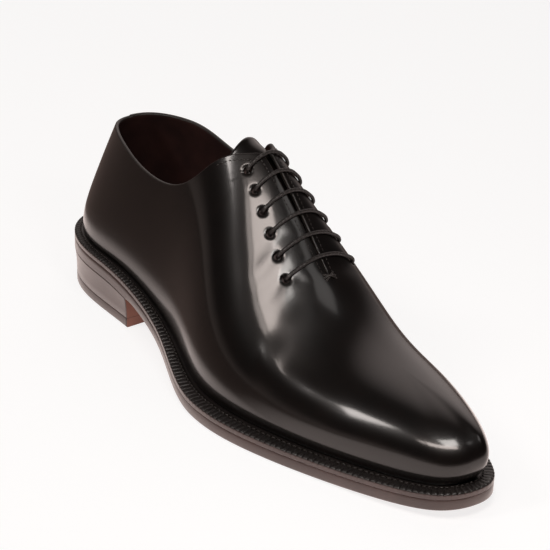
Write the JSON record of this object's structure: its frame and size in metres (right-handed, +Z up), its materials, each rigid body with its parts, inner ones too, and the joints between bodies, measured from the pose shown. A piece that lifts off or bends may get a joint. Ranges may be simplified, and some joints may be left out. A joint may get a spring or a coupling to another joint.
{
  "type": "whole cut oxford shoe",
  "caption": "Closed-laced leather dress shoe cut from one piece, with a welt all round, a leather sole, a stacked heel and straight lacing.",
  "frame": {"origin": "middle of the shoe's bounding box, on the floor", "axes": "+X from the heel to the toe, +Y to the medial side, +Z up"},
  "size_m": [0.3068, 0.1042, 0.1158],
  "materials": {
    "polished_calf": "high polish",
    "tongue_calf": "polished",
    "lining_leather": "matte",
    "welt_leather": "satin",
    "sole_edge": "burnished, waxed",
    "lace_cotton": "waxed"
  },
  "bodies": {
    "root": {"heel_top_piece": "sole_edge", "heel_stack": "sole_edge", "outsole": "sole_edge", "welt": "welt_leather", "insole": "lining_leather", "upper": "polished_calf", "tongue": "tongue_calf", "lace_bar_1": "lace_cotton", "lace_bar_2": "lace_cotton", "lace_bar_3": "lace_cotton", "lace_bar_4": "lace_cotton", "lace_bar_5": "lace_cotton", "lace_bar_6": "lace_cotton"}
  },
  "joints": []
}
